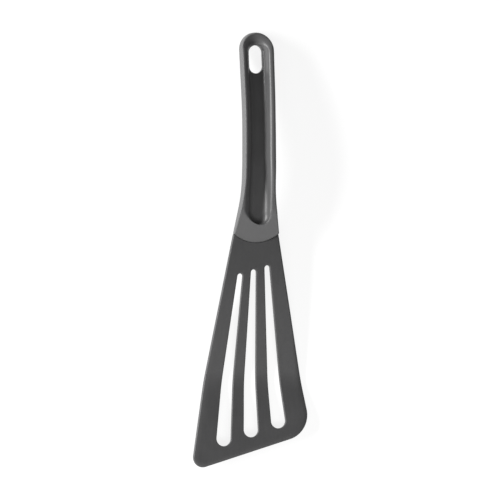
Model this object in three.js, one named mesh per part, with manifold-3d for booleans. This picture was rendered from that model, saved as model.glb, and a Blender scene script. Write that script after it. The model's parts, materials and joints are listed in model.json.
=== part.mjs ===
// A slotted grill turner in glass-filled nylon: a fan-shaped blade, and a trough-section handle moulded over its tang.
//
// Millimetres. The parts are drawn in their moulding pose: X runs across, Y runs along from the blade tip (0) to the
// end of the handle (LENGTH), and Z rises through the open side of the trough. The finished group is then tipped
// forward so that the heel of the blade and the end of the handle touch Z = 0, with the origin under its middle.

import * as THREE from 'three';
import { mergeVertices } from 'three/addons/utils/BufferGeometryUtils.js';
import Module from 'manifold-3d';

// ---------------------------------------------------------------------------------------------- driving dimensions

const LENGTH = 304.7;
const GAP = 0.3; // clearance between the two mouldings

// Blade, seen from above: straight sides that fan out from the neck, and a slanted tip edge between round corners.
const TIP_LEFT = new THREE.Vector2(-42.1, -3.25); // where the tip edge would meet the long side
const TIP_RIGHT = new THREE.Vector2(45.9, 24.3); // where it would meet the short side
const SIDE_TOP_Y = 157.9; // both sides are dimensioned here
const SIDE_TOP_LEFT = -16.6;
const SIDE_TOP_RIGHT = 18.1;
const LEFT_CORNER_RADIUS = 7;
const RIGHT_CORNER_RADIUS = 18;

// Blade, seen from the side.
const BLADE_THICKNESS = 2.8;
const TIP_THICKNESS = 1.8;
const HEEL_Y = 60;
const HEEL_RADIUS = 60;
const HEEL_Z = -30.19; // middle of the plate at the heel, below the middle of the handle
const UPPER_BLADE_SLOPE = THREE.MathUtils.degToRad(10.5);
const TIP_PANEL_SLOPE = THREE.MathUtils.degToRad(3.5);

// Slots: three tapered openings with round ends, fanned about the middle one.
const SLOT_TOP_RADIUS = 1.95;
const SLOT_BOTTOM_RADIUS = 5.25;
const SLOT_TOP = new THREE.Vector2(0.2, 136.75); // centre of the middle slot's small end
const SLOT_BOTTOM = new THREE.Vector2(1.7, 26.1); // centre of its large end
const SLOT_TOP_STEP = new THREE.Vector2(9.7, 2.85); // from one slot's small end to the next
const SLOT_BOTTOM_STEP = new THREE.Vector2(19.87, 6.2); // from one slot's large end to the next

// Tang and the pegs that lock it.
const TANG_TOP_Y = 171.5;
const TANG_ROOT_Y = 150;
const TANG_ROOT_HALF_WIDTH = 12;
const TANG_TOP_HALF_WIDTH = 9;
const TANG_CORNER_RADIUS = 3;
const TANG_THICKNESS = 1.6;
const PEG_RADIUS = 1.7;
const PEG_Y = 165;
const PEG_SPACING = 6.5;
const PEG_HALF_LENGTH = 1.5;

// Collar: the end of the handle's neck plate, a shallow arc across the blade.
const COLLAR_RADIUS = 24;
const COLLAR_CENTRE = new THREE.Vector2(0.6, 181.5);
const COLLAR_LIFT = 0.4; // how far the collar stands off each face of the blade

// Handle, seen from above.
const HANDLE_HALF_WIDTH = 11.1;
const FLARE_RADIUS = 160; // blends the fanned neck into the straight grip

// Handle, seen from the side.
const GRIP_TOP_Z = 5.75;
const GRIP_BOTTOM_Z = -5.75;
const FLOOR_THICKNESS = 3.8;
const ARCH_Y = 252; // the last part of the grip droops from here
const ARCH_RADIUS = 300;
const ARCH_SLOPE = THREE.MathUtils.degToRad(8);
const ARCH_DROP = (LENGTH - ARCH_Y) * Math.tan(ARCH_SLOPE);
const SHOULDER_Y = 177; // the neck's upper face climbs steeply from the collar to here
const SHOULDER_Z = -1.2;
const SHOULDER_RADIUS = 20;
const RIM_TOP_Y = 206; // and more gently from there to here
const NECK_LOW_Y = 190; // its underside runs on in line with the blade to here
const NECK_HIGH_Y = 214; // and both it and the trough's floor are level from here
const NECK_RADIUS = 80;
const END_DIP_Y = 293; // the rim falls away a little more round the very end
const END_DIP_RADIUS = 30;
const END_DIP = 3.4;

// Edge rounding of the handle.
const TOP_ROUNDING = 1.6;
const BOTTOM_ROUNDING = 1.8;
const ROUNDING_STEPS = 3;
const ROUNDING_FADE = 40; // length over which the rounding grows from the collar's to the grip's
const COLLAR_ROUNDING_SHARE = 0.12;

// Trough: half width at each level, and the level as a share of the depth from floor (0) to rim (1).
const TROUGH_LEVELS = [
  { halfWidth: 3.4, share: 0 },
  { halfWidth: 4.5, share: 0.07 },
  { halfWidth: 5.2, share: 0.22 },
  { halfWidth: 6.6, share: 0.82 },
  { halfWidth: 7.2, share: 0.95 },
  { halfWidth: 8.2, share: 1 },
];
const TROUGH_LOW_Y = 160; // the floor's slope in the neck is set by a point here
const TROUGH_LOW_Z = -9.6;
const TROUGH_LOW_CENTRE_Y = 179; // centre of its round lower end
const TROUGH_FLOOR_END_Y = 296; // where the floor stops short of the handle's end
const TROUGH_RIM_END_Y = 302.7; // where the rim stops short of it

// How finely the handle's rings are divided, and how far a cutter runs past the face it cuts.
const END_STEPS = 8;
const MIDDLE_STEPS = 34;
const CUT_MARGIN = 4;

// Hanging hole.
const HOLE_RADIUS = 5;
const HOLE_LOW_Y = 276.0;
const HOLE_HIGH_Y = 295.7;

const BLADE_COLOUR = 0x55545a;
const HANDLE_COLOUR = 0x4b4b4d;

// -------------------------------------------------------------------------------------------------- manifold helpers

const wasm = await Module();
wasm.setup();

function solid(geometry) {
  const bare = geometry.index ? geometry.toNonIndexed() : geometry.clone();
  bare.deleteAttribute('normal');
  bare.deleteAttribute('uv');
  const merged = mergeVertices(bare, 1e-5);
  const corners = merged.index.array;
  const kept = [];
  for (let i = 0; i < corners.length; i += 3) {
    const [a, b, c] = corners.slice(i, i + 3);
    if (a !== b && b !== c && c !== a) kept.push(a, b, c);
  }
  const mesh = new wasm.Mesh({
    numProp: 3,
    vertProperties: new Float32Array(merged.attributes.position.array),
    triVerts: new Uint32Array(kept),
  });
  return new wasm.Manifold(mesh);
}

function geometryOf(body) {
  const mesh = body.getMesh();
  const geometry = new THREE.BufferGeometry();
  geometry.setAttribute('position', new THREE.BufferAttribute(mesh.vertProperties, 3));
  geometry.setIndex(new THREE.BufferAttribute(mesh.triVerts, 1));
  geometry.computeVertexNormals();
  return geometry;
}

// ----------------------------------------------------------------------------------------------------- path helpers

// Runs a line through the corners and rounds each one that has a radius. With `closed` it is an outline.
function filleted(corners, closed) {
  const path = new THREE.Shape();
  const last = corners.length - 1;
  corners.forEach((corner, i) => {
    if (!corner.radius) {
      if (i === 0) path.moveTo(corner.x, corner.y);
      else path.lineTo(corner.x, corner.y);
      return;
    }
    const before = corners[i === 0 && closed ? last : i - 1];
    const after = corners[i === last && closed ? 0 : i + 1];
    roundCorner(path, before, corner, after, i === 0);
  });
  if (closed) path.closePath();
  return path;
}

function roundCorner(path, before, corner, after, first) {
  const here = new THREE.Vector2(corner.x, corner.y);
  const back = new THREE.Vector2(before.x, before.y).sub(here).normalize();
  const ahead = new THREE.Vector2(after.x, after.y).sub(here).normalize();
  const half = Math.acos(back.dot(ahead)) / 2;
  const start = here.clone().addScaledVector(back, corner.radius / Math.tan(half));
  const end = here.clone().addScaledVector(ahead, corner.radius / Math.tan(half));
  const centre = here.clone().add(back.clone().add(ahead).setLength(corner.radius / Math.sin(half)));
  const from = start.clone().sub(centre).angle();
  const to = end.clone().sub(centre).angle();
  const clockwise = back.cross(ahead) > 0;
  if (first) path.moveTo(start.x, start.y);
  else path.lineTo(start.x, start.y);
  path.absarc(centre.x, centre.y, corner.radius, from, to, clockwise);
}

const corner = (x, y, radius = 0) => ({ x, y, radius });

// The height of a side line at any y, from its rounded corners.
function heightLine(corners) {
  const points = filleted(corners, false).getPoints(12);
  return (y) => {
    let i = 1;
    while (i < points.length - 1 && points[i].x < y) i += 1;
    const [a, b] = [points[i - 1], points[i]];
    return a.y + ((b.y - a.y) * (y - a.x)) / (b.x - a.x);
  };
}

// ------------------------------------------------------------------------------------------------------ side lines

const tipZ = HEEL_Z + HEEL_Y * Math.tan(TIP_PANEL_SLOPE);
const bladeZ = (y) => HEEL_Z + (y - HEEL_Y) * Math.tan(UPPER_BLADE_SLOPE);
const collarY = COLLAR_CENTRE.y - COLLAR_RADIUS;
const collarHalfHeight = BLADE_THICKNESS / 2 + COLLAR_LIFT;

const handleTop = heightLine([
  corner(collarY, bladeZ(collarY) + collarHalfHeight),
  corner(SHOULDER_Y, SHOULDER_Z, SHOULDER_RADIUS),
  corner(RIM_TOP_Y, GRIP_TOP_Z, NECK_RADIUS),
  corner(ARCH_Y, GRIP_TOP_Z, ARCH_RADIUS),
  corner(END_DIP_Y, GRIP_TOP_Z - (END_DIP_Y - ARCH_Y) * Math.tan(ARCH_SLOPE), END_DIP_RADIUS),
  corner(LENGTH, GRIP_TOP_Z - ARCH_DROP - END_DIP),
]);

const handleBottom = heightLine([
  corner(collarY, bladeZ(collarY) - collarHalfHeight),
  corner(NECK_LOW_Y, bladeZ(NECK_LOW_Y) - collarHalfHeight, NECK_RADIUS),
  corner(NECK_HIGH_Y, GRIP_BOTTOM_Z, NECK_RADIUS),
  corner(ARCH_Y, GRIP_BOTTOM_Z, ARCH_RADIUS),
  corner(LENGTH, GRIP_BOTTOM_Z - ARCH_DROP),
]);

const troughFloor = heightLine([
  corner(TROUGH_LOW_Y, TROUGH_LOW_Z),
  corner(NECK_HIGH_Y, GRIP_BOTTOM_Z + FLOOR_THICKNESS, NECK_RADIUS),
  corner(ARCH_Y, GRIP_BOTTOM_Z + FLOOR_THICKNESS, ARCH_RADIUS),
  corner(LENGTH, GRIP_BOTTOM_Z + FLOOR_THICKNESS - ARCH_DROP),
]);

// ------------------------------------------------------------------------------------------------- shape by slices

// An extrusion of a side view: the shape's x becomes Y, its y becomes Z, and its depth runs along X.
function sideExtrusion(shape, width) {
  const geometry = new THREE.ExtrudeGeometry(shape, { depth: width, bevelEnabled: false, curveSegments: 12 });
  geometry.translate(0, 0, -width / 2);
  const turn = new THREE.Matrix4().makeBasis(
    new THREE.Vector3(0, 1, 0),
    new THREE.Vector3(0, 0, 1),
    new THREE.Vector3(1, 0, 0),
  );
  return solid(geometry.applyMatrix4(turn));
}

// An extrusion of a plan view, tall enough to cut right through the part.
function planExtrusion(shape, curveSegments = 12) {
  const height = 120;
  const geometry = new THREE.ExtrudeGeometry(shape, { depth: height, bevelEnabled: false, curveSegments });
  geometry.translate(0, 0, -height / 2);
  return solid(geometry);
}

// Values of y from low to high, closer together over the round ends.
function stations(low, high, endLength) {
  const ease = Array.from({ length: END_STEPS }, (_, i) => 1 - Math.cos((i / END_STEPS) * (Math.PI / 2)));
  const straight = high - low - 2 * endLength;
  const middle = Array.from({ length: MIDDLE_STEPS + 1 }, (_, i) => low + endLength + (straight * i) / MIDDLE_STEPS);
  return [
    ...ease.map((share) => low + endLength * share),
    ...middle,
    ...ease.map((share) => high - endLength * share).reverse(),
  ];
}

const rung = (left, right, y, z) => ({ left: new THREE.Vector3(left, y, z), right: new THREE.Vector3(right, y, z) });

// Stacks closed rings into one body. A ring is a list of rungs { left, right }, each a point on either side, so the
// lowest and the highest ring are closed by strips from rung to rung.
function stack(rings) {
  const triangles = [];
  const quad = (a, b, c, d) => triangles.push(a, b, c, a, c, d);
  const loops = rings.map((rungs) => [
    ...rungs.map((rung) => rung.right),
    ...rungs.map((rung) => rung.left).reverse(),
  ]);
  for (let i = 1; i < loops.length; i += 1) {
    const [low, high] = [loops[i - 1], loops[i]];
    low.forEach((point, k) => {
      const next = (k + 1) % low.length;
      quad(point, low[next], high[next], high[k]);
    });
  }
  const bottom = rings[0];
  const top = rings[rings.length - 1];
  for (let k = 1; k < bottom.length; k += 1) {
    quad(bottom[k - 1].left, bottom[k].left, bottom[k].right, bottom[k - 1].right);
    quad(top[k - 1].right, top[k].right, top[k].left, top[k - 1].left);
  }
  return solid(new THREE.BufferGeometry().setFromPoints(triangles));
}

// ------------------------------------------------------------------------------------------------------------ blade

const leftSlope = (SIDE_TOP_LEFT - TIP_LEFT.x) / (SIDE_TOP_Y - TIP_LEFT.y);
const rightSlope = (SIDE_TOP_RIGHT - TIP_RIGHT.x) / (SIDE_TOP_Y - TIP_RIGHT.y);
const leftSide = (y) => SIDE_TOP_LEFT + (y - SIDE_TOP_Y) * leftSlope;
const rightSide = (y) => SIDE_TOP_RIGHT + (y - SIDE_TOP_Y) * rightSlope;

function bladeOutline() {
  const top = COLLAR_CENTRE.y - 5;
  return filleted(
    [
      corner(TIP_LEFT.x, TIP_LEFT.y, LEFT_CORNER_RADIUS),
      corner(TIP_RIGHT.x, TIP_RIGHT.y, RIGHT_CORNER_RADIUS),
      corner(rightSide(top), top),
      corner(leftSide(top), top),
    ],
    true,
  );
}

// The plate seen from the side. It thins evenly from the heel to the tip edge, on its upper face.
function plateSection() {
  const half = BLADE_THICKNESS / 2;
  const topY = COLLAR_CENTRE.y;
  const underside = [
    corner(-10, tipZ + 10 * Math.tan(TIP_PANEL_SLOPE) - half),
    corner(HEEL_Y, HEEL_Z - half, HEEL_RADIUS + half),
    corner(topY, bladeZ(topY) - half),
  ];
  const upperFace = [
    corner(topY, bladeZ(topY) + half),
    corner(HEEL_Y, HEEL_Z + half, HEEL_RADIUS - half),
    corner(-10, tipZ + 10 * Math.tan(TIP_PANEL_SLOPE) - half + TIP_THICKNESS),
  ];
  return filleted([...underside, ...upperFace], true);
}

// A slot seen from above: two round ends joined by straight sides that touch both.
function slotOutline(top, bottom) {
  const along = top.clone().sub(bottom);
  const lean = Math.asin((SLOT_BOTTOM_RADIUS - SLOT_TOP_RADIUS) / along.length());
  const heading = along.angle();
  const shape = new THREE.Shape();
  const right = heading - Math.PI / 2 + lean;
  const left = heading + Math.PI / 2 - lean;
  shape.absarc(top.x, top.y, SLOT_TOP_RADIUS, right, left, false);
  shape.absarc(bottom.x, bottom.y, SLOT_BOTTOM_RADIUS, left, right + 2 * Math.PI, false);
  shape.closePath();
  return shape;
}

function slots() {
  return [-1, 0, 1].map((i) => {
    const top = SLOT_TOP.clone().addScaledVector(SLOT_TOP_STEP, i);
    const bottom = SLOT_BOTTOM.clone().addScaledVector(SLOT_BOTTOM_STEP, i);
    return planExtrusion(slotOutline(top, bottom), 14);
  });
}

// The tang, or with `grow` the pocket that holds it.
function tang(grow = 0) {
  const low = TANG_ROOT_HALF_WIDTH + grow;
  const high = TANG_TOP_HALF_WIDTH + grow;
  const top = TANG_TOP_Y + grow;
  const plan = filleted(
    [
      corner(-low, TANG_ROOT_Y),
      corner(low, TANG_ROOT_Y),
      corner(high, top, TANG_CORNER_RADIUS + grow),
      corner(-high, top, TANG_CORNER_RADIUS + grow),
    ],
    true,
  );
  const half = TANG_THICKNESS / 2 + grow;
  const side = filleted(
    [
      corner(TANG_ROOT_Y - 5, bladeZ(TANG_ROOT_Y - 5) - half),
      corner(TANG_TOP_Y + 5, bladeZ(TANG_TOP_Y + 5) - half),
      corner(TANG_TOP_Y + 5, bladeZ(TANG_TOP_Y + 5) + half),
      corner(TANG_ROOT_Y - 5, bladeZ(TANG_ROOT_Y - 5) + half),
    ],
    true,
  );
  return planExtrusion(plan).intersect(sideExtrusion(side, 60));
}

const pegCentres = () => [-1, 0, 1].map((i) => new THREE.Vector2(COLLAR_CENTRE.x + i * PEG_SPACING, PEG_Y));

function pegs(radius, halfLength) {
  return pegCentres().map((centre) => {
    const geometry = new THREE.CylinderGeometry(radius, radius, 2 * halfLength, 20);
    geometry.rotateX(Math.PI / 2);
    geometry.translate(centre.x, centre.y, bladeZ(centre.y));
    return solid(geometry);
  });
}

function blade() {
  const collarCut = new THREE.Shape();
  collarCut.absarc(COLLAR_CENTRE.x, COLLAR_CENTRE.y, COLLAR_RADIUS + GAP, 0, 2 * Math.PI, false);
  let body = planExtrusion(bladeOutline(), 16).intersect(sideExtrusion(plateSection(), 120));
  body = body.subtract(planExtrusion(collarCut, 48)).add(tang());
  for (const cutter of [...slots(), ...pegs(PEG_RADIUS + GAP, CUT_MARGIN)]) body = body.subtract(cutter);
  return body;
}

// ----------------------------------------------------------------------------------------------------------- handle

// One side of the handle seen from above: the fanned neck blended into the straight grip.
function flaredSide(sign, side, slope) {
  const meetY = SIDE_TOP_Y + (sign * HANDLE_HALF_WIDTH - side(SIDE_TOP_Y)) / slope;
  return heightLine([
    corner(collarY, sign * side(collarY)),
    corner(meetY, HANDLE_HALF_WIDTH, FLARE_RADIUS),
    corner(LENGTH, HANDLE_HALF_WIDTH),
  ]);
}

const endCentreY = LENGTH - HANDLE_HALF_WIDTH;
const flaredLeft = flaredSide(-1, leftSide, leftSlope);
const flaredRight = flaredSide(1, rightSide, rightSlope);

// Half the chord of a circle at a distance from its centre.
const chord = (radius, offset) => Math.sqrt(Math.max(0, radius * radius - offset * offset));

// The rounding of the handle's edges fades out towards the thin collar.
const roundingShare = (y) => THREE.MathUtils.clamp((y - collarY) / ROUNDING_FADE, COLLAR_ROUNDING_SHARE, 1);

// One ring of the handle's skin, as rungs from the collar to the end. At `turn` = 0 the ring lies on the face, drawn
// in by the whole rounding; at a quarter turn it lies on the side. `up` is 1 above the underside, -1 below the top.
function handleRing(face, radius, turn, up) {
  const drawIn = (y) => radius * roundingShare(y) * (1 - Math.sin(turn));
  const height = (y) => face(y) + up * radius * roundingShare(y) * (1 - Math.cos(turn));
  const low = collarY + drawIn(collarY);
  const high = LENGTH - drawIn(LENGTH);
  return stations(low, high, HANDLE_HALF_WIDTH).map((y) => {
    const inset = drawIn(y);
    const end = y > endCentreY ? chord(HANDLE_HALF_WIDTH - inset, y - endCentreY) : Infinity;
    const arc = y < COLLAR_CENTRE.y ? chord(COLLAR_RADIUS - inset, COLLAR_CENTRE.y - y) : Infinity;
    const left = Math.min(flaredLeft(y) - inset, arc - COLLAR_CENTRE.x, end);
    const right = Math.min(flaredRight(y) - inset, arc + COLLAR_CENTRE.x, end);
    return rung(-left, right, y, height(y));
  });
}

// The solid handle before its trough, hole and pocket are cut.
function handleBlank() {
  const turns = Array.from({ length: ROUNDING_STEPS + 1 }, (_, i) => (i / ROUNDING_STEPS) * (Math.PI / 2));
  return stack([
    ...turns.map((turn) => handleRing(handleBottom, BOTTOM_ROUNDING, turn, 1)),
    ...turns.reverse().map((turn) => handleRing(handleTop, TOP_ROUNDING, turn, -1)),
  ]);
}

// The cutter for the trough: flat floor, sloping walls and a rounded rim, with a longer slope at the handle's end.
function trough() {
  const floorWidth = TROUGH_LEVELS[0].halfWidth;
  const rimWidth = TROUGH_LEVELS[TROUGH_LEVELS.length - 1].halfWidth;
  const ring = (halfWidth, height) => {
    const climb = (halfWidth - floorWidth) / (rimWidth - floorWidth);
    const low = TROUGH_LOW_CENTRE_Y - halfWidth;
    const high = THREE.MathUtils.lerp(TROUGH_FLOOR_END_Y, TROUGH_RIM_END_Y, climb);
    return stations(low, high, halfWidth).map((y) => {
      const pastEnd = Math.max(0, low + halfWidth - y, y - high + halfWidth);
      const reach = chord(halfWidth, pastEnd);
      return rung(-reach, reach, y, height(y));
    });
  };
  const levels = TROUGH_LEVELS.map(({ halfWidth, share }) => {
    return ring(halfWidth, (y) => THREE.MathUtils.lerp(troughFloor(y), handleTop(y), share));
  });
  return stack([...levels, ring(rimWidth, (y) => handleTop(y) + CUT_MARGIN)]);
}

function hangingHole() {
  const shape = new THREE.Shape();
  shape.absarc(0, HOLE_HIGH_Y - HOLE_RADIUS, HOLE_RADIUS, 0, Math.PI, false);
  shape.absarc(0, HOLE_LOW_Y + HOLE_RADIUS, HOLE_RADIUS, Math.PI, 2 * Math.PI, false);
  shape.closePath();
  return planExtrusion(shape);
}

function handle() {
  let body = handleBlank();
  for (const cutter of [trough(), hangingHole(), tang(GAP)]) body = body.subtract(cutter);
  for (const peg of pegs(PEG_RADIUS, PEG_HALF_LENGTH)) body = body.add(peg);
  return body;
}

// --------------------------------------------------------------------------------------------------------- assembly

function piece(name, body, colour, roughness) {
  const material = new THREE.MeshStandardMaterial({ color: colour, roughness, metalness: 0 });
  const mesh = new THREE.Mesh(geometryOf(body), material);
  mesh.name = name;
  return mesh;
}

// Every corner of the meshes, in the moulding pose.
function cornersOf(meshes) {
  return meshes.flatMap((mesh) => {
    const positions = mesh.geometry.attributes.position;
    return Array.from({ length: positions.count }, (_, i) => new THREE.Vector3().fromBufferAttribute(positions, i));
  });
}

// The angle that brings the handle end down until it and the heel of the blade stand on one level.
function restTilt(points) {
  const bladeHalf = points.filter((point) => point.y < LENGTH / 2);
  const handleHalf = points.filter((point) => point.y > LENGTH / 2);
  let tilt = 0;
  for (let pass = 0; pass < 3; pass += 1) {
    const height = (point) => point.z * Math.cos(tilt) - point.y * Math.sin(tilt);
    const heel = bladeHalf.reduce((low, point) => (height(point) < height(low) ? point : low));
    const angles = handleHalf.map((point) => Math.atan2(point.z - heel.z, point.y - heel.y));
    tilt = angles.reduce((least, angle) => Math.min(least, angle));
  }
  return tilt;
}

const meshes = [piece('blade', blade(), BLADE_COLOUR, 0.5), piece('handle', handle(), HANDLE_COLOUR, 0.4)];
const spatula = new THREE.Group();
spatula.add(...meshes);
spatula.rotation.x = -restTilt(cornersOf(meshes));
const box = new THREE.Box3().setFromObject(spatula, true);
const middle = box.getCenter(new THREE.Vector3());
spatula.position.set(-middle.x, -middle.y, -box.min.z);

export default spatula;
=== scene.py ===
"""A slotted grill turner in dark grey glass-filled nylon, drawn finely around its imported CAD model.

The two mouldings are worked out as distance fields, in millimetres, in their moulding pose: x
across, y along from the blade tip (about 0) to the end of the handle (LENGTH), z up through the
open side of the handle's trough. A field is negative inside the plastic. Each field is turned into
a mesh, drawn exactly onto its surface, and laid into the frame, where the heel of the blade and the
end of the handle rest on the floor.
"""

import json
import math

import bpy
import numpy as np
import openvdb
from mathutils import Matrix, Vector


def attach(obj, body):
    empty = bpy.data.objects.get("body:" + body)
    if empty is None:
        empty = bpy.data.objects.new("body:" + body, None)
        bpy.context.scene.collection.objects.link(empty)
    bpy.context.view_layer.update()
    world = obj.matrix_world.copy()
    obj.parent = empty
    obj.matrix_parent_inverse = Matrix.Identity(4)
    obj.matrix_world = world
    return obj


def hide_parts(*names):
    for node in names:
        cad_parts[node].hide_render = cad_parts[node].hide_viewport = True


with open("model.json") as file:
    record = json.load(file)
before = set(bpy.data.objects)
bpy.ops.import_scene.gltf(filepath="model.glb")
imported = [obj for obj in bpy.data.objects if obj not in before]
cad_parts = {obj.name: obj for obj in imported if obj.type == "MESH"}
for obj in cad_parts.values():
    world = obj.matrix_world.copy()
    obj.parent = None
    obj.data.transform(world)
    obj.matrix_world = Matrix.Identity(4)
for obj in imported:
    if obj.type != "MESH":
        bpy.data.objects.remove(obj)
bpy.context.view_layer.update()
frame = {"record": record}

MM = 0.001

# ------------------------------------------------------------------------------- driving dimensions

LENGTH = 304.7
GAP = 0.3  # clearance between the two mouldings
SEAM = 0.05  # the part of that clearance which shows, round the collar

# Blade outline: straight fanned sides, a slanted tip edge, and two round corners.
TIP_LEFT = (-42.1, -3.25)
TIP_RIGHT = (45.9, 24.3)
SIDE_TOP_Y = 157.9
SIDE_TOP_LEFT = (-16.6, SIDE_TOP_Y)
SIDE_TOP_RIGHT = (18.1, SIDE_TOP_Y)
LEFT_CORNER_RADIUS = 7.0
RIGHT_CORNER_RADIUS = 18.0

# Blade along its length.
HALF_PLATE = 1.4
TIP_THINNING = 1.0
HEEL_Y = 60.0
HEEL_Z = -30.19
HEEL_RADIUS = 60.0
UPPER_BLADE_SLOPE = math.radians(10.5)
TIP_PANEL_SLOPE = math.radians(3.5)
BLADE_FAR_Y = -10.0
BLADE_EDGE = 0.8
SLOT_EDGE = 0.55
UNDERSIDE_EDGE = 0.4

# The upper face falls away towards the outline: how far and over what width, on the upper blade and
# on the tip panel.
BAND_DROP = (0.15, 0.5)
BAND_WIDTH = (1.6, 3.8)
BAND_LOW_Y = 55.0
BAND_HIGH_Y = 115.0

# Slots: three tapered openings with round ends, fanned about the middle one.
SLOT_TOP_RADIUS = 1.95
SLOT_BOTTOM_RADIUS = 5.25
SLOT_TOP = (0.2, 136.75)
SLOT_BOTTOM = (1.7, 26.1)
SLOT_TOP_STEP = (9.7, 2.85)
SLOT_BOTTOM_STEP = (19.87, 6.2)

# Tang and pegs, hidden in the handle.
TANG_ROOT_Y = 150.0
TANG_TOP_Y = 171.5
TANG_ROOT_HALF_WIDTH = 12.0
TANG_TOP_HALF_WIDTH = 9.0
TANG_CORNER = 2.0
HALF_TANG = 0.8
PEG_RADIUS = 1.7
PEG_Y = 165.0
PEG_SPACING = 6.5
PEG_HALF_LENGTH = 1.5
HIDDEN_EDGE = 0.2

# Collar and handle.
COLLAR_CENTRE = (0.6, 181.5)
COLLAR_RADIUS = 24.0
COLLAR_CORNER = 0.4
HALF_COLLAR = 1.8
NECK_HALF_WIDTH = (11.1, 11.6)  # where the fanned neck meets the grip, on the left and the right
FLARE_RADIUS = 160.0
WAIST_HALF_WIDTH = 11.1
WAIST_Y = 245.0
WAIST_RADIUS = 600.0
END_HALF_WIDTH = 11.6
END_HALF_LENGTH = 12.2
END_SHIFT = 0.25  # towards its end the handle leans this far to the left
LEAN_LOW_Y = 240.0
LEAN_HIGH_Y = 285.0
SIDE_DRAFT = 0.01
GRIP_TOP_Z = 5.75
GRIP_BOTTOM_Z = -5.75
FLOOR_THICKNESS = 3.8
ARCH_Y = 252.0
ARCH_RADIUS = 300.0
ARCH_SLOPE = math.tan(math.radians(8))
END_DIP_Y = 293.0
END_DIP_RADIUS = 30.0
END_DIP = 3.4
RAMP_SLOPE = 0.467  # the neck's upper face climbs from the collar at this slope, up to a crease
SHOULDER = (178.5, -0.5)  # and then more gently from here to the level rim of the grip
RIM_TOP_Y = 206.0
CREASE = 0.6
NECK_LOW_Y = 190.0
NECK_HIGH_Y = 214.0
NECK_RADIUS = 80.0

# Edge rounding of the handle. It grows from the thin collar to the grip.
EDGE_GROWTH = 40.0
COLLAR_EDGE = 0.3
OUTER_RIM = (0.8, 1.6)  # on the left and the right
UNDERSIDE_RIM = (0.4, 1.8)  # at the collar and on the grip

# Rounding of the trough's rim, on the left and the right.
LOW_END_RIM = (2.8, 1.2)  # round its lower end
NECK_ROLL = (4.4, 1.5)  # in the neck
INNER_RIM = (3.2, 2.1)  # on the grip
LOW_END_Y = (171.0, 180.0)  # where the first turns into the second
NECK_ROLL_Y = (182.0, 205.0)  # where the second turns into the third
INNER_RIM_SHARE = 0.8  # the most of the trough's depth that it may take
ACROSS = (-4.0, 4.0)  # the width over which left turns into right
LEAST_DEPTH = 0.5

# Trough.
TROUGH_LOW_Y = 160.0
TROUGH_LOW_Z = -9.6
TROUGH_LOW_CENTRE_Y = 178.5
TROUGH_SHIFT = 0.9  # the lower end lies this far to the right
TROUGH_SHIFT_Y = (175.0, 210.0)  # where that shift fades out
TROUGH_LOW_SKEW = 0.2  # the lower end reaches lower on the right
TROUGH_HALF_WIDTH = (8.2, 7.7, 7.1, 7.5)  # at the lower end, in the neck, on the grip, near the end
TROUGH_NECK_Y = (170.0, 180.0)  # where its lower end turns into the neck
TROUGH_GRIP_Y = (192.0, 225.0)  # where the neck turns into the grip
TROUGH_DRAFT = 0.22
TROUGH_FILLET = 2.6
NECK_FILLET = 3.4  # on the right in the neck
NECK_FILLET_Y = (180.0, 205.0)
TROUGH_FILLET_SHARE = 0.6
TROUGH_END_CENTRE_Y = 291.6
TROUGH_END_STRETCH = 0.41
TROUGH_END_HALF_WIDTH = 8.2
TROUGH_END_DRAFT = 1.1
TROUGH_END_GROWTH = 6.0

# Hanging hole.
HOLE_RADIUS = 5.0
HOLE_X = -0.25
HOLE_LOW_Y = 276.0
HOLE_HIGH_Y = 295.7
HOLE_EDGE = 0.5

# Meshing.
HANDLE_STEP = (0.45, 0.45, 0.45)
BLADE_STEP = (0.52, 0.52, 0.36)
DRAW_ON_PASSES = 4
PROBE = 0.02
LONGEST_MOVE = 0.3
LEAST_STEEPNESS = 0.25
FAR = 10.0
TINY = 1e-9
ARC_POINTS = 80

# ------------------------------------------------------------------------------------ field helpers


def both(a, b, radius=0.0):
    """Where two fields overlap, with the outer edge between them rounded."""
    corner = np.hypot(np.maximum(a + radius, 0), np.maximum(b + radius, 0))
    return np.minimum(np.maximum(a, b), -radius) + corner


def without(a, b, radius=0.0):
    """The first field cut by the second, with the edge of the cut rounded."""
    return both(a, -b, radius)


def ramp(value, low, high):
    """0 below low, 1 above high, and smooth between."""
    share = np.clip((value - low) / (high - low), 0, 1)
    return share * share * (3 - 2 * share)


def mix(a, b, share):
    return a + (b - a) * share


def line(*corners):
    """The height of a side line at any y. Its corners are (y, z, radius)."""
    points = []
    for i, (y, z, radius) in enumerate(corners):
        here = np.array((y, z))
        if radius == 0:
            points.append(here)
            continue
        back = np.array(corners[i - 1][:2]) - here
        ahead = np.array(corners[i + 1][:2]) - here
        back /= np.linalg.norm(back)
        ahead /= np.linalg.norm(ahead)
        half = math.acos(float(back @ ahead)) / 2
        start = here + back * radius / math.tan(half)
        end = here + ahead * radius / math.tan(half)
        middle = here + (back + ahead) / np.linalg.norm(back + ahead) * radius / math.sin(half)
        for share in np.linspace(0, 1, ARC_POINTS):
            spoke = start + (end - start) * share - middle
            points.append(middle + spoke / np.linalg.norm(spoke) * radius)
    ys, zs = np.array(points).T
    return lambda y: np.interp(y, ys, zs)


def edge(start, end):
    """A straight edge with the plastic on its left, as its outward normal and its offset."""
    along = np.subtract(end, start) / np.linalg.norm(np.subtract(end, start))
    normal = np.array((along[1], -along[0]))
    return normal, float(normal @ start)


def outside(x, y, an_edge):
    normal, offset = an_edge
    return x * normal[0] + y * normal[1] - offset


def rounded_corner(x, y, first, second, radius):
    """The overlap of two straight edges, with an arc between them that touches both."""
    a = outside(x, y, first) + radius
    b = outside(x, y, second) + radius
    cosine = float(first[0] @ second[0])
    on_arc = (a - b * cosine > 0) & (b - a * cosine > 0)
    reach = np.sqrt(np.maximum(a * a + b * b - 2 * a * b * cosine, 0) / (1 - cosine * cosine))
    return np.where(on_arc, reach, np.maximum(a, b)) - radius


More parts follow.
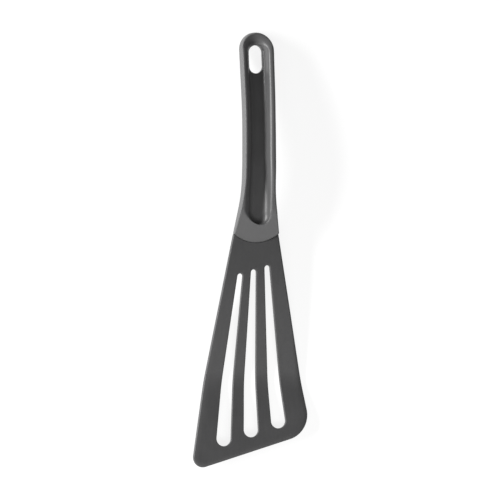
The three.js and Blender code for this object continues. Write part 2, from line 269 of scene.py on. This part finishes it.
def slot_outline(x, y, low, high):
    """A tapered opening with round ends, wider at the low end."""
    axis = np.subtract(high, low)
    length = np.linalg.norm(axis)
    along = axis / length
    up = (x - low[0]) * along[0] + (y - low[1]) * along[1]
    across = np.abs((x - low[0]) * along[1] - (y - low[1]) * along[0])
    lean = (SLOT_BOTTOM_RADIUS - SLOT_TOP_RADIUS) / length
    level = math.sqrt(1 - lean * lean)
    slide = up * level - across * lean
    straight = across * level + up * lean - SLOT_BOTTOM_RADIUS
    low_end = np.hypot(up, across) - SLOT_BOTTOM_RADIUS
    high_end = np.hypot(up - length, across) - SLOT_TOP_RADIUS
    return np.where(slide < 0, low_end, np.where(slide > length * level, high_end, straight))


# --------------------------------------------------------------------------------------- side lines


def blade_z(y):
    """Middle of the plate above the heel."""
    return HEEL_Z + (y - HEEL_Y) * math.tan(UPPER_BLADE_SLOPE)


def arch_z(z, y):
    """A height on the straight drooping part of the grip, from the height on its level part."""
    return z - (y - ARCH_Y) * ARCH_SLOPE


COLLAR_Y = COLLAR_CENTRE[1] - COLLAR_RADIUS
END_CENTRE_Y = LENGTH - END_HALF_LENGTH
PAST_END = LENGTH + 5
PAST_TANG = TANG_TOP_Y + 10
TIP_FAR_Z = HEEL_Z + (HEEL_Y - BLADE_FAR_Y) * math.tan(TIP_PANEL_SLOPE)
FLOOR_Z = GRIP_BOTTOM_Z + FLOOR_THICKNESS

spine = line(
    (BLADE_FAR_Y, TIP_FAR_Z, 0),
    (HEEL_Y, HEEL_Z, HEEL_RADIUS),
    (PAST_TANG, blade_z(PAST_TANG), 0),
)
plate_top = line(
    (BLADE_FAR_Y, TIP_FAR_Z + HALF_PLATE - TIP_THINNING, 0),
    (HEEL_Y, HEEL_Z + HALF_PLATE, HEEL_RADIUS - HALF_PLATE),
    (PAST_TANG, blade_z(PAST_TANG) + HALF_PLATE, 0),
)
SHOULDER_SLOPE = (GRIP_TOP_Z - SHOULDER[1]) / (RIM_TOP_Y - SHOULDER[0])
shoulder_line = line(
    (COLLAR_Y, SHOULDER[1] - (SHOULDER[0] - COLLAR_Y) * SHOULDER_SLOPE, 0),
    (RIM_TOP_Y, GRIP_TOP_Z, NECK_RADIUS),
    (ARCH_Y, GRIP_TOP_Z, ARCH_RADIUS),
    (END_DIP_Y, arch_z(GRIP_TOP_Z, END_DIP_Y), END_DIP_RADIUS),
    (LENGTH, arch_z(GRIP_TOP_Z, LENGTH) - END_DIP, 0),
    (PAST_END, arch_z(GRIP_TOP_Z, PAST_END) - 2 * END_DIP, 0),
)
underside_line = line(
    (COLLAR_Y, blade_z(COLLAR_Y) - HALF_COLLAR, 0),
    (NECK_LOW_Y, blade_z(NECK_LOW_Y) - HALF_COLLAR, NECK_RADIUS),
    (NECK_HIGH_Y, GRIP_BOTTOM_Z, NECK_RADIUS),
    (ARCH_Y, GRIP_BOTTOM_Z, ARCH_RADIUS),
    (PAST_END, arch_z(GRIP_BOTTOM_Z, PAST_END), 0),
)
trough_line = line(
    (TROUGH_LOW_Y, TROUGH_LOW_Z, 0),
    (NECK_HIGH_Y, FLOOR_Z, NECK_RADIUS),
    (ARCH_Y, FLOOR_Z, ARCH_RADIUS),
    (PAST_END, arch_z(FLOOR_Z, PAST_END), 0),
)

# -------------------------------------------------------------------------------------------- blade

LEFT_EDGE = edge(SIDE_TOP_LEFT, TIP_LEFT)
RIGHT_EDGE = edge(TIP_RIGHT, SIDE_TOP_RIGHT)
TIP_EDGE = edge(TIP_LEFT, TIP_RIGHT)


def tang(x, y, z, grow=0.0):
    """The blade's tang, or the pocket that holds it."""
    share = (y - TANG_ROOT_Y) / (TANG_TOP_Y - TANG_ROOT_Y)
    side = np.abs(x) - mix(TANG_ROOT_HALF_WIDTH, TANG_TOP_HALF_WIDTH, share) - grow
    plan = np.maximum(both(side, y - TANG_TOP_Y - grow, TANG_CORNER), TANG_ROOT_Y - y)
    return both(plan, np.abs(z - blade_z(y)) - HALF_TANG - grow, HIDDEN_EDGE)


def peg_distance(x, y):
    middles = [COLLAR_CENTRE[0] + i * PEG_SPACING for i in (-1, 0, 1)]
    return np.minimum.reduce([np.hypot(x - middle, y - PEG_Y) for middle in middles])


def blade_field(x, y, z):
    left_corner = rounded_corner(x, y, LEFT_EDGE, TIP_EDGE, LEFT_CORNER_RADIUS)
    right_corner = rounded_corner(x, y, RIGHT_EDGE, TIP_EDGE, RIGHT_CORNER_RADIUS)
    collar = COLLAR_RADIUS + SEAM - np.hypot(x - COLLAR_CENTRE[0], y - COLLAR_CENTRE[1])
    outline = np.maximum.reduce([left_corner, right_corner, y - COLLAR_CENTRE[1]])
    slots = []
    for i in (-1, 0, 1):
        low = np.add(SLOT_BOTTOM, np.multiply(SLOT_BOTTOM_STEP, i))
        high = np.add(SLOT_TOP, np.multiply(SLOT_TOP_STEP, i))
        slots.append(slot_outline(x, y, low, high))
    openings = -np.minimum.reduce(slots)
    plan = np.maximum.reduce([outline, openings, collar])
    rounding = np.where(openings >= plan, SLOT_EDGE, HIDDEN_EDGE)
    rounding = np.where(outline >= plan, BLADE_EDGE, rounding)
    tipward = 1 - ramp(y, BAND_LOW_Y, BAND_HIGH_Y)
    into_band = np.clip(1 + outline / mix(*BAND_WIDTH, tipward), 0, 1)
    upper = both(plan, z - plate_top(y) + mix(*BAND_DROP, tipward) * into_band**2, rounding)
    lower = both(plan, spine(y) - HALF_PLATE - z, UNDERSIDE_EDGE)
    keyed = without(tang(x, y, z), peg_distance(x, y) - PEG_RADIUS - GAP, HIDDEN_EDGE)
    return np.minimum(np.maximum(upper, lower), keyed)


# ------------------------------------------------------------------------------------------- handle


def flared(sign, top, an_edge, neck_half_width):
    """One side of the handle from above: the fanned neck blended into the slightly waisted grip."""
    slope = an_edge[0][1] / abs(an_edge[0][0])
    half_width = sign * top[0]
    meet_y = SIDE_TOP_Y + (half_width - neck_half_width) / slope
    return line(
        (COLLAR_Y, half_width + (SIDE_TOP_Y - COLLAR_Y) * slope, 0),
        (meet_y, neck_half_width, FLARE_RADIUS),
        (WAIST_Y, WAIST_HALF_WIDTH, WAIST_RADIUS),
        (END_CENTRE_Y, END_HALF_WIDTH, 0),
        (PAST_END, END_HALF_WIDTH, 0),
    )


flared_left = flared(-1, SIDE_TOP_LEFT, LEFT_EDGE, NECK_HALF_WIDTH[0])
flared_right = flared(1, SIDE_TOP_RIGHT, RIGHT_EDGE, NECK_HALF_WIDTH[1])


def trough_reach(x, y):
    """The half width the trough would have if its wall stood at a point, with two round ends."""
    before = TROUGH_LOW_CENTRE_Y - y - TROUGH_LOW_SKEW * x
    past = y - TROUGH_END_CENTRE_Y
    square = 1 - TROUGH_END_STRETCH**2
    lean = past * TROUGH_END_STRETCH
    high_end = (np.sqrt(lean * lean + square * (x * x + past * past)) - lean) / square
    reach = np.hypot(x, np.maximum(before, 0))
    return np.where(past > TROUGH_END_STRETCH * np.abs(x), high_end, reach)


def hanging_hole(x, y):
    middle = (HOLE_LOW_Y + HOLE_HIGH_Y) / 2
    half = (HOLE_HIGH_Y - HOLE_LOW_Y) / 2 - HOLE_RADIUS
    return np.hypot(x - HOLE_X, np.maximum(np.abs(y - middle) - half, 0)) - HOLE_RADIUS


def handle_field(x, y, z):
    lean = ramp(y, LEAN_LOW_Y, LEAN_HIGH_Y)
    x = x + END_SHIFT * lean
    reach = trough_reach(x - TROUGH_SHIFT * (1 - ramp(y, *TROUGH_SHIFT_Y)), y)
    shoulder = shoulder_line(y)
    slope = blade_z(COLLAR_Y) + HALF_COLLAR + (y - COLLAR_Y) * RAMP_SLOPE
    rim = np.minimum(shoulder, slope)

    sides = np.maximum(-x - flared_left(y), x - flared_right(y))
    end = np.hypot(x, (y - END_CENTRE_Y) * END_HALF_WIDTH / END_HALF_LENGTH) - END_HALF_WIDTH
    outline = np.where(y > END_CENTRE_Y, end, sides)
    collar = np.hypot(x - COLLAR_CENTRE[0], y - COLLAR_CENTRE[1]) - COLLAR_RADIUS
    outline = np.where(y < COLLAR_CENTRE[1], both(outline, collar, COLLAR_CORNER), outline)
    outline = outline + (rim - z) * SIDE_DRAFT * ramp(y, COLLAR_Y, COLLAR_Y + EDGE_GROWTH)

    growth = ramp(y, COLLAR_Y - EDGE_GROWTH / 2, COLLAR_Y + EDGE_GROWTH)
    rightward = ramp(x, *ACROSS)
    outer_edge = mix(COLLAR_EDGE, mix(*OUTER_RIM, rightward), growth)
    upper = both(outline, z - shoulder, outer_edge)
    ramped = both(outline, z - slope, outer_edge)
    lower = both(outline, underside_line(y) - z, mix(*UNDERSIDE_RIM, growth))

    bottom = trough_line(y)
    depth = np.maximum(rim - bottom, LEAST_DEPTH)
    ending = ramp(y, TROUGH_END_CENTRE_Y, TROUGH_END_CENTRE_Y + TROUGH_END_GROWTH)
    draft = mix(TROUGH_DRAFT, TROUGH_END_DRAFT, ending)
    low_width, neck_width, grip_width, high_width = TROUGH_HALF_WIDTH
    half_width = mix(low_width, neck_width, ramp(y, *TROUGH_NECK_Y))
    half_width = mix(half_width, grip_width, ramp(y, *TROUGH_GRIP_Y))
    half_width = mix(mix(half_width, high_width, lean), TROUGH_END_HALF_WIDTH, ending)
    wall = (reach - half_width + (rim - z) * draft) / np.sqrt(1 + draft * draft)
    fillet = mix(TROUGH_FILLET, NECK_FILLET, rightward * (1 - ramp(y, *NECK_FILLET_Y)))
    hollow = both(bottom - z, wall, np.minimum(fillet, depth * TROUGH_FILLET_SHARE))
    beside = mix(mix(*NECK_ROLL, rightward), mix(*INNER_RIM, rightward), ramp(y, *NECK_ROLL_Y))
    roll = mix(mix(*LOW_END_RIM, rightward), beside, ramp(y, *LOW_END_Y))
    rolled = without(upper, hollow, np.minimum(roll, depth * INNER_RIM_SHARE))
    body = np.maximum.reduce([both(rolled, z - slope, CREASE), ramped, lower])
    body = without(body, hanging_hole(x, y), HOLE_EDGE)
    body = without(body, tang(x, y, z, GAP), HIDDEN_EDGE)
    peg = np.maximum(peg_distance(x, y) - PEG_RADIUS, np.abs(z - blade_z(y)) - PEG_HALF_LENGTH)
    return np.minimum(body, peg)


# ------------------------------------------------------------------------------------------ meshing


def gradient(field, points):
    slopes = []
    for axis in range(3):
        shift = np.zeros(3)
        shift[axis] = PROBE
        slopes.append(field(*(points + shift).T) - field(*(points - shift).T))
    return np.stack(slopes, axis=1) / (2 * PROBE)


def skin(field, low, high, step, lift=lambda y: 0 * y):
    """Points, quads and outward normals of a field's surface.

    The grid follows the lift, so that it can hug a bent plate.
    """
    counts = np.ceil(np.subtract(high, low) / step).astype(int) + 1
    xs, ys, zs = (low[axis] + step[axis] * np.arange(counts[axis]) for axis in range(3))
    x, y, z = np.meshgrid(xs, ys, zs, indexing="ij")
    values = field(x, y, z + lift(y))
    grid = openvdb.FloatGrid(FAR)
    grid.copyFromArray(values.astype(np.float32))
    found, quads = grid.convertToQuads(0.0)
    points = np.asarray(found, float) * step + low
    points[:, 2] += lift(points[:, 1])
    for _ in range(DRAW_ON_PASSES):
        slope = gradient(field, points)
        steepness = np.maximum((slope**2).sum(axis=1), LEAST_STEEPNESS)
        move = -slope * (field(*points.T) / steepness)[:, None]
        size = np.linalg.norm(move, axis=1, keepdims=True)
        points += move * np.minimum(1, LONGEST_MOVE / np.maximum(size, TINY))
    normals = gradient(field, points)
    normals /= np.maximum(np.linalg.norm(normals, axis=1, keepdims=True), TINY)
    quads = np.asarray(quads, int)
    corner, second, third = points[quads[:, 0]], points[quads[:, 1]], points[quads[:, 2]]
    facing = np.cross(second - corner, third - corner)
    if (facing * normals[quads[:, 0]]).sum() < 0:
        quads = quads[:, ::-1]
    return points, quads, normals


# ------------------------------------------------------------------------------- place in the frame

MOUNT_Y = 148.0  # where along the blade the mount sits, on the underside
MOUNT_POINT = Vector((0, MOUNT_Y, blade_z(MOUNT_Y) - HALF_PLATE))
mount = next(m for m in frame["record"]["mounts"] if m["name"] == "upper_blade_underside")
tilt = UPPER_BLADE_SLOPE - math.atan2(mount["axis"][1], -mount["axis"][2])
TURN = Matrix.Rotation(-tilt, 3, "X")
OFFSET = Vector(mount["pos_m"]) - TURN @ (MOUNT_POINT * MM)


def placed(point):
    return TURN @ (Vector(point) * MM) + OFFSET


def make_piece(name, surface, material):
    points, quads, normals = surface
    turn = np.array(TURN)
    mesh = bpy.data.meshes.new(name)
    mesh.from_pydata((points * MM @ turn.T + np.array(OFFSET)).tolist(), [], quads.tolist())
    mesh.polygons.foreach_set("use_smooth", [True] * len(mesh.polygons))
    mesh.normals_split_custom_set_from_vertices((normals @ turn.T).tolist())
    mesh.materials.append(material)
    piece = bpy.data.objects.new(name, mesh)
    bpy.context.collection.objects.link(piece)
    return piece


# ----------------------------------------------------------------------------------------- material


class Nodes:
    """A short way to write a node tree."""

    def __init__(self, name):
        self.material = bpy.data.materials.new(name)
        self.material.use_nodes = True
        self.tree = self.material.node_tree
        self.tree.nodes.clear()

    def add(self, kind, inputs=(), **settings):
        node = self.tree.nodes.new(kind)
        for key, value in settings.items():
            setattr(node, key, value)
        for key, value in dict(inputs).items():
            if isinstance(value, bpy.types.NodeSocket):
                self.tree.links.new(value, node.inputs[key])
            else:
                node.inputs[key].default_value = value
        return node

    def noise(self, place, stretch, detail=2.0, roughness=0.5):
        """Noise whose grains have the given size in millimetres along each axis."""
        scale = [1 / (size * MM) for size in stretch]
        scaled = self.add("ShaderNodeMapping", {"Vector": place, "Scale": scale}).outputs[0]
        inputs = {"Vector": scaled, "Scale": 1.0, "Detail": detail, "Roughness": roughness}
        return self.add("ShaderNodeTexNoise", inputs).outputs["Fac"]

    def remap(self, value, span, to_span):
        inputs = {"Value": value, 1: span[0], 2: span[1], 3: to_span[0], 4: to_span[1]}
        return self.add("ShaderNodeMapRange", inputs, clamp=True).outputs[0]

    def maths(self, operation, a, b):
        return self.add("ShaderNodeMath", {0: a, 1: b}, operation=operation).outputs[0]


# Nylon: the size of each noise pattern in millimetres, and how much it changes the shade.
GRAIN_SIZE = (0.5, 0.5, 0.5)
SPECK_SIZE = (0.25, 0.25, 0.25)
CLOUD_SIZE = (14, 22, 14)
FLOW_SIZE = (2.2, 34, 2.2)
WAVE_SIZE = (9, 16, 9)
NOISE_SPAN = (0.3, 0.7)  # what most values of a noise lie between
SPECK_SPAN = (0.3, 0.75)
CLOUD_SHADE = (0.94, 1.06)
FLOW_SHADE = (0.965, 1.035)
SPECK_SHADE = (0.93, 1.12)
EDGE_SPAN = (0.5, 0.6)  # of pointiness, from a flat face to an edge
EDGE_SHADE = (1.0, 1.25)
# Darker stretch along the blade: how far its start wanders with the cloud noise, and how dark the
# colour gets
STRETCH_WANDER = 0.02  # metres
STRETCH_SHADE = (1.0, 0.80)
CLOUD_GLOSS = 0.03
GRAIN_GLOSS = (-0.04, 0.05)
WAVE_DEPTH = 0.05
NYLON_IOR = 1.5

BLADE_GREY = (0.064, 0.0635, 0.0645)
BLADE_GLOSS = 0.42
BLADE_GRAIN = 0.035
# Between these two places along the blade its colour is made darker
BLADE_DARKER_STRETCH = (-0.035, 0.003)  # along the blade, in metres
HANDLE_GREY = (0.100, 0.0995, 0.1005)
HANDLE_GLOSS = 0.40
HANDLE_GRAIN = 0.03
FLOOR_GREY = (0.27, 0.27, 0.27, 1)
FLOOR_GLOW = 0.84


def nylon(name, grey, gloss, grain_depth, darker_stretch=None):
    """Glass-filled nylon: moulded grain, faint flow streaks, uneven gloss and paler worn edges.

    Between two given places along the part, its colour is made darker.
    """
    nodes = Nodes(name)
    place = nodes.add("ShaderNodeTexCoord").outputs["Object"]
    grain = nodes.noise(place, GRAIN_SIZE, detail=3.0, roughness=0.6)
    speck = nodes.noise(place, SPECK_SIZE, detail=1.0)
    cloud = nodes.noise(place, CLOUD_SIZE)
    flow = nodes.noise(place, FLOW_SIZE, detail=3.0, roughness=0.55)
    waviness = nodes.noise(place, WAVE_SIZE, detail=1.0)

    shade = nodes.remap(cloud, NOISE_SPAN, CLOUD_SHADE)
    shade = nodes.maths("MULTIPLY", shade, nodes.remap(flow, NOISE_SPAN, FLOW_SHADE))
    shade = nodes.maths("MULTIPLY", shade, nodes.remap(speck, SPECK_SPAN, SPECK_SHADE))
    worn = nodes.add("ShaderNodeNewGeometry").outputs["Pointiness"]
    shade = nodes.maths("MULTIPLY", shade, nodes.remap(worn, EDGE_SPAN, EDGE_SHADE))
    # Make the colour darker along the part, between the two given places
    if darker_stretch:
        along = nodes.add("ShaderNodeSeparateXYZ", {0: place}).outputs["Y"]
        uneven = nodes.maths("ADD", along, nodes.maths("MULTIPLY", cloud, STRETCH_WANDER))
        shade = nodes.maths("MULTIPLY", shade, nodes.remap(uneven, darker_stretch, STRETCH_SHADE))
    base = nodes.add("ShaderNodeVectorMath", {0: grey, "Scale": shade}, operation="SCALE")

    rough = nodes.remap(cloud, NOISE_SPAN, (gloss - CLOUD_GLOSS, gloss + CLOUD_GLOSS))
    rough = nodes.maths("ADD", rough, nodes.remap(grain, NOISE_SPAN, GRAIN_GLOSS))
    fine = nodes.maths("MULTIPLY", grain, grain_depth)
    height = nodes.maths("ADD", fine, nodes.maths("MULTIPLY", waviness, WAVE_DEPTH))
    bump = nodes.add("ShaderNodeBump", {"Height": height, "Strength": 1.0, "Distance": MM})
    inputs = {"Base Color": base.outputs[0], "Roughness": rough, "IOR": NYLON_IOR,
              "Normal": bump.outputs[0]}
    shader = nodes.add("ShaderNodeBsdfPrincipled", inputs)
    nodes.add("ShaderNodeOutputMaterial", {"Surface": shader.outputs[0]})
    return nodes.material


def floor_material():
    nodes = Nodes("pale_floor")
    inputs = {"Base Color": FLOOR_GREY, "Roughness": 0.9, "Specular IOR Level": 0.1,
              "Emission Color": (1, 1, 1, 1), "Emission Strength": FLOOR_GLOW}
    shader = nodes.add("ShaderNodeBsdfPrincipled", inputs)
    nodes.add("ShaderNodeOutputMaterial", {"Surface": shader.outputs[0]})
    return nodes.material


blade_nylon = nylon("blade_nylon", BLADE_GREY, BLADE_GLOSS, BLADE_GRAIN, BLADE_DARKER_STRETCH)
handle_nylon = nylon("handle_nylon", HANDLE_GREY, HANDLE_GLOSS, HANDLE_GRAIN)

# ------------------------------------------------------------------------------------------- pieces

BLADE_SPACE = ((-44.0, -4.0, -2.4), (47.0, 178.0, 2.4))  # heights from the bent spine
HANDLE_SPACE = ((-19.0, 155.0, -17.5), (19.0, 307.0, 8.0))

blade_skin = skin(blade_field, *BLADE_SPACE, BLADE_STEP, spine)
handle_skin = skin(handle_field, *HANDLE_SPACE, HANDLE_STEP)
blade = make_piece("blade_moulding", blade_skin, blade_nylon)
handle = make_piece("handle_moulding", handle_skin, handle_nylon)
for piece, node, slot in ((blade, "blade", "blade_nylon"), (handle, "handle", "handle_nylon")):
    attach(piece, "root")
    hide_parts(node)

FLOOR_HALF = 4.0
floor_mesh = bpy.data.meshes.new("floor")
floor_signs = ((-1, -1), (1, -1), (1, 1), (-1, 1))
floor_corners = [(i * FLOOR_HALF, j * FLOOR_HALF, 0) for i, j in floor_signs]
floor_mesh.from_pydata(floor_corners, [], [(0, 1, 2, 3)])
floor_mesh.materials.append(floor_material())
floor = bpy.data.objects.new("floor", floor_mesh)
bpy.context.collection.objects.link(floor)

# ------------------------------------------------------------------------------------------- camera

VIEW_SWING = math.radians(15)  # the camera stands over the left side of the spatula
VIEW_X = -6.26
VIEW_Y = 152.3
VIEW_DISTANCE = 10.0
VIEW_WIDTH = 0.3500
SENSOR = 36.0
CLIP = (0.01, 30)

right = TURN @ Vector((math.cos(VIEW_SWING), 0, math.sin(VIEW_SWING)))
up = TURN @ Vector((0, 1, 0))
back = right.cross(up)
camera_data = bpy.data.cameras.new("camera")
camera_data.sensor_width = SENSOR
camera_data.lens = SENSOR * VIEW_DISTANCE / VIEW_WIDTH
camera_data.clip_start = CLIP[0]
camera_data.clip_end = CLIP[1]
camera = bpy.data.objects.new("camera", camera_data)
aim = placed((VIEW_X / math.cos(VIEW_SWING), VIEW_Y, 0))
stand = Matrix.Translation(aim + back * VIEW_DISTANCE)
camera.matrix_world = stand @ Matrix((right, up, back)).transposed().to_4x4()
bpy.context.collection.objects.link(camera)
bpy.context.scene.camera = camera

# -------------------------------------------------------------------------------------------- light


def softbox(name, azimuth, elevation, distance, size, radiance):
    """A soft lamp aimed at the middle of the object. Azimuth 0 is its blade end, 90 its right."""
    a, e = math.radians(azimuth), math.radians(elevation)
    direction = Vector((math.sin(a) * math.cos(e), -math.cos(a) * math.cos(e), math.sin(e)))
    lamp = bpy.data.lights.new(name, "AREA")
    lamp.shape = "RECTANGLE"
    lamp.size, lamp.size_y = size
    lamp.energy = radiance * size[0] * size[1] * math.pi
    holder = bpy.data.objects.new(name, lamp)
    holder.location = direction * distance
    holder.rotation_mode = "QUATERNION"
    holder.rotation_quaternion = direction.to_track_quat("Z", "Y")
    holder.visible_camera = False
    bpy.context.collection.objects.link(holder)


WORLD_LIGHT = 0.12

softbox("front_softbox", azimuth=0, elevation=52, distance=0.75, size=(0.9, 0.3), radiance=2.9)
softbox("left_softbox", azimuth=-96, elevation=22.5, distance=1.6, size=(1.1, 0.22), radiance=47.0)

world = bpy.data.worlds.new("studio")
world.use_nodes = True
background = world.node_tree.nodes["Background"]
background.inputs["Color"].default_value = (1, 1, 1, 1)
background.inputs["Strength"].default_value = WORLD_LIGHT
bpy.context.scene.world = world
bpy.context.scene.view_settings.view_transform = "Standard"
